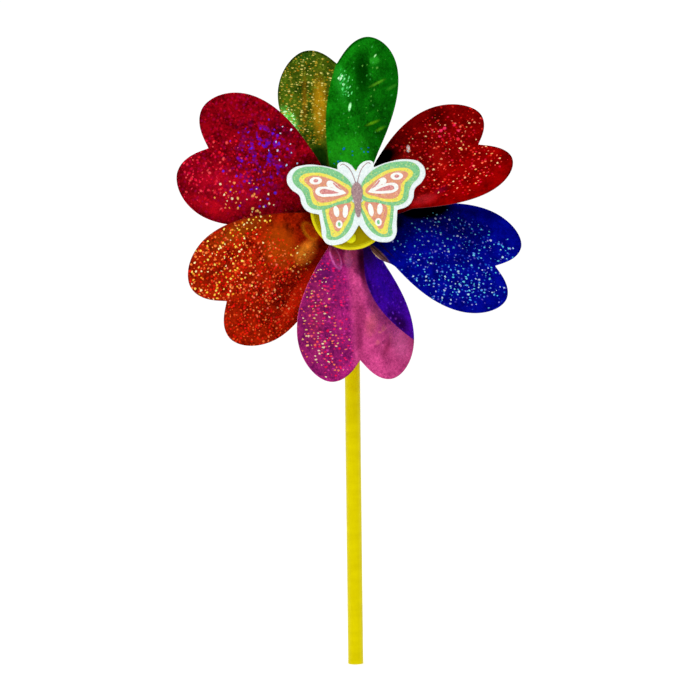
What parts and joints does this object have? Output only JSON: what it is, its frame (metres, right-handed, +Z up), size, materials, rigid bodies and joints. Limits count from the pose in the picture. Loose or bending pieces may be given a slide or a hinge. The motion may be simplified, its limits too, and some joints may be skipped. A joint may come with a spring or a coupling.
{
  "type": "wind spinner",
  "caption": "Toy wind spinner: heart-shaped holographic foil petals on a studded plastic hub with a butterfly badge, turning on a pin at the top of a plain hollow stick.",
  "frame": {"origin": "centre of the stick's open lower end", "axes": "+Z up along the stick, -Y out of the front of the wheel, +X to the right seen from the front"},
  "size_m": [0.1628, 0.0566, 0.3005],
  "materials": {
    "yellow_plastic": "extruded or moulded yellow plastic, satin gloss",
    "white_plastic": "natural white moulded plastic",
    "foam_tape": "white foam tape",
    "butterfly_foam": "printed foam sheet with a fine grainy print",
    "green_foil": "metallised holographic plastic film with fine glitter cells",
    "dark_red_foil": "metallised holographic plastic film with fine glitter cells",
    "blue_foil": "metallised holographic plastic film with fine glitter cells",
    "magenta_foil": "metallised holographic plastic film with fine glitter cells",
    "orange_foil": "metallised holographic plastic film with fine glitter cells",
    "red_foil": "metallised holographic plastic film with fine glitter cells"
  },
  "bodies": {
    "stand": {"stick": "yellow_plastic", "stick_head": "yellow_plastic", "axle_pin": "white_plastic", "axle_cap": "yellow_plastic", "front_washer": "white_plastic", "rear_washer": "white_plastic"},
    "wheel": {"hub_body": "yellow_plastic", "hub_front_disc": "yellow_plastic", "petal_stud_1": "yellow_plastic", "petal_stud_2": "yellow_plastic", "petal_stud_3": "yellow_plastic", "petal_stud_4": "yellow_plastic", "petal_stud_5": "yellow_plastic", "petal_stud_6": "yellow_plastic", "petal_green": "green_foil", "petal_dark_red": "dark_red_foil", "petal_blue": "blue_foil", "petal_magenta": "magenta_foil", "petal_orange": "orange_foil", "petal_red": "red_foil", "butterfly_tape": "foam_tape", "butterfly_board": "butterfly_foam"}
  },
  "joints": [
    {"name": "wheel_spin", "type": "hinge", "parent": "stand", "child": "wheel", "pos_m": [0, -0.026, 0.2175], "axis": [0, -1, 0], "continuous": true}
  ]
}
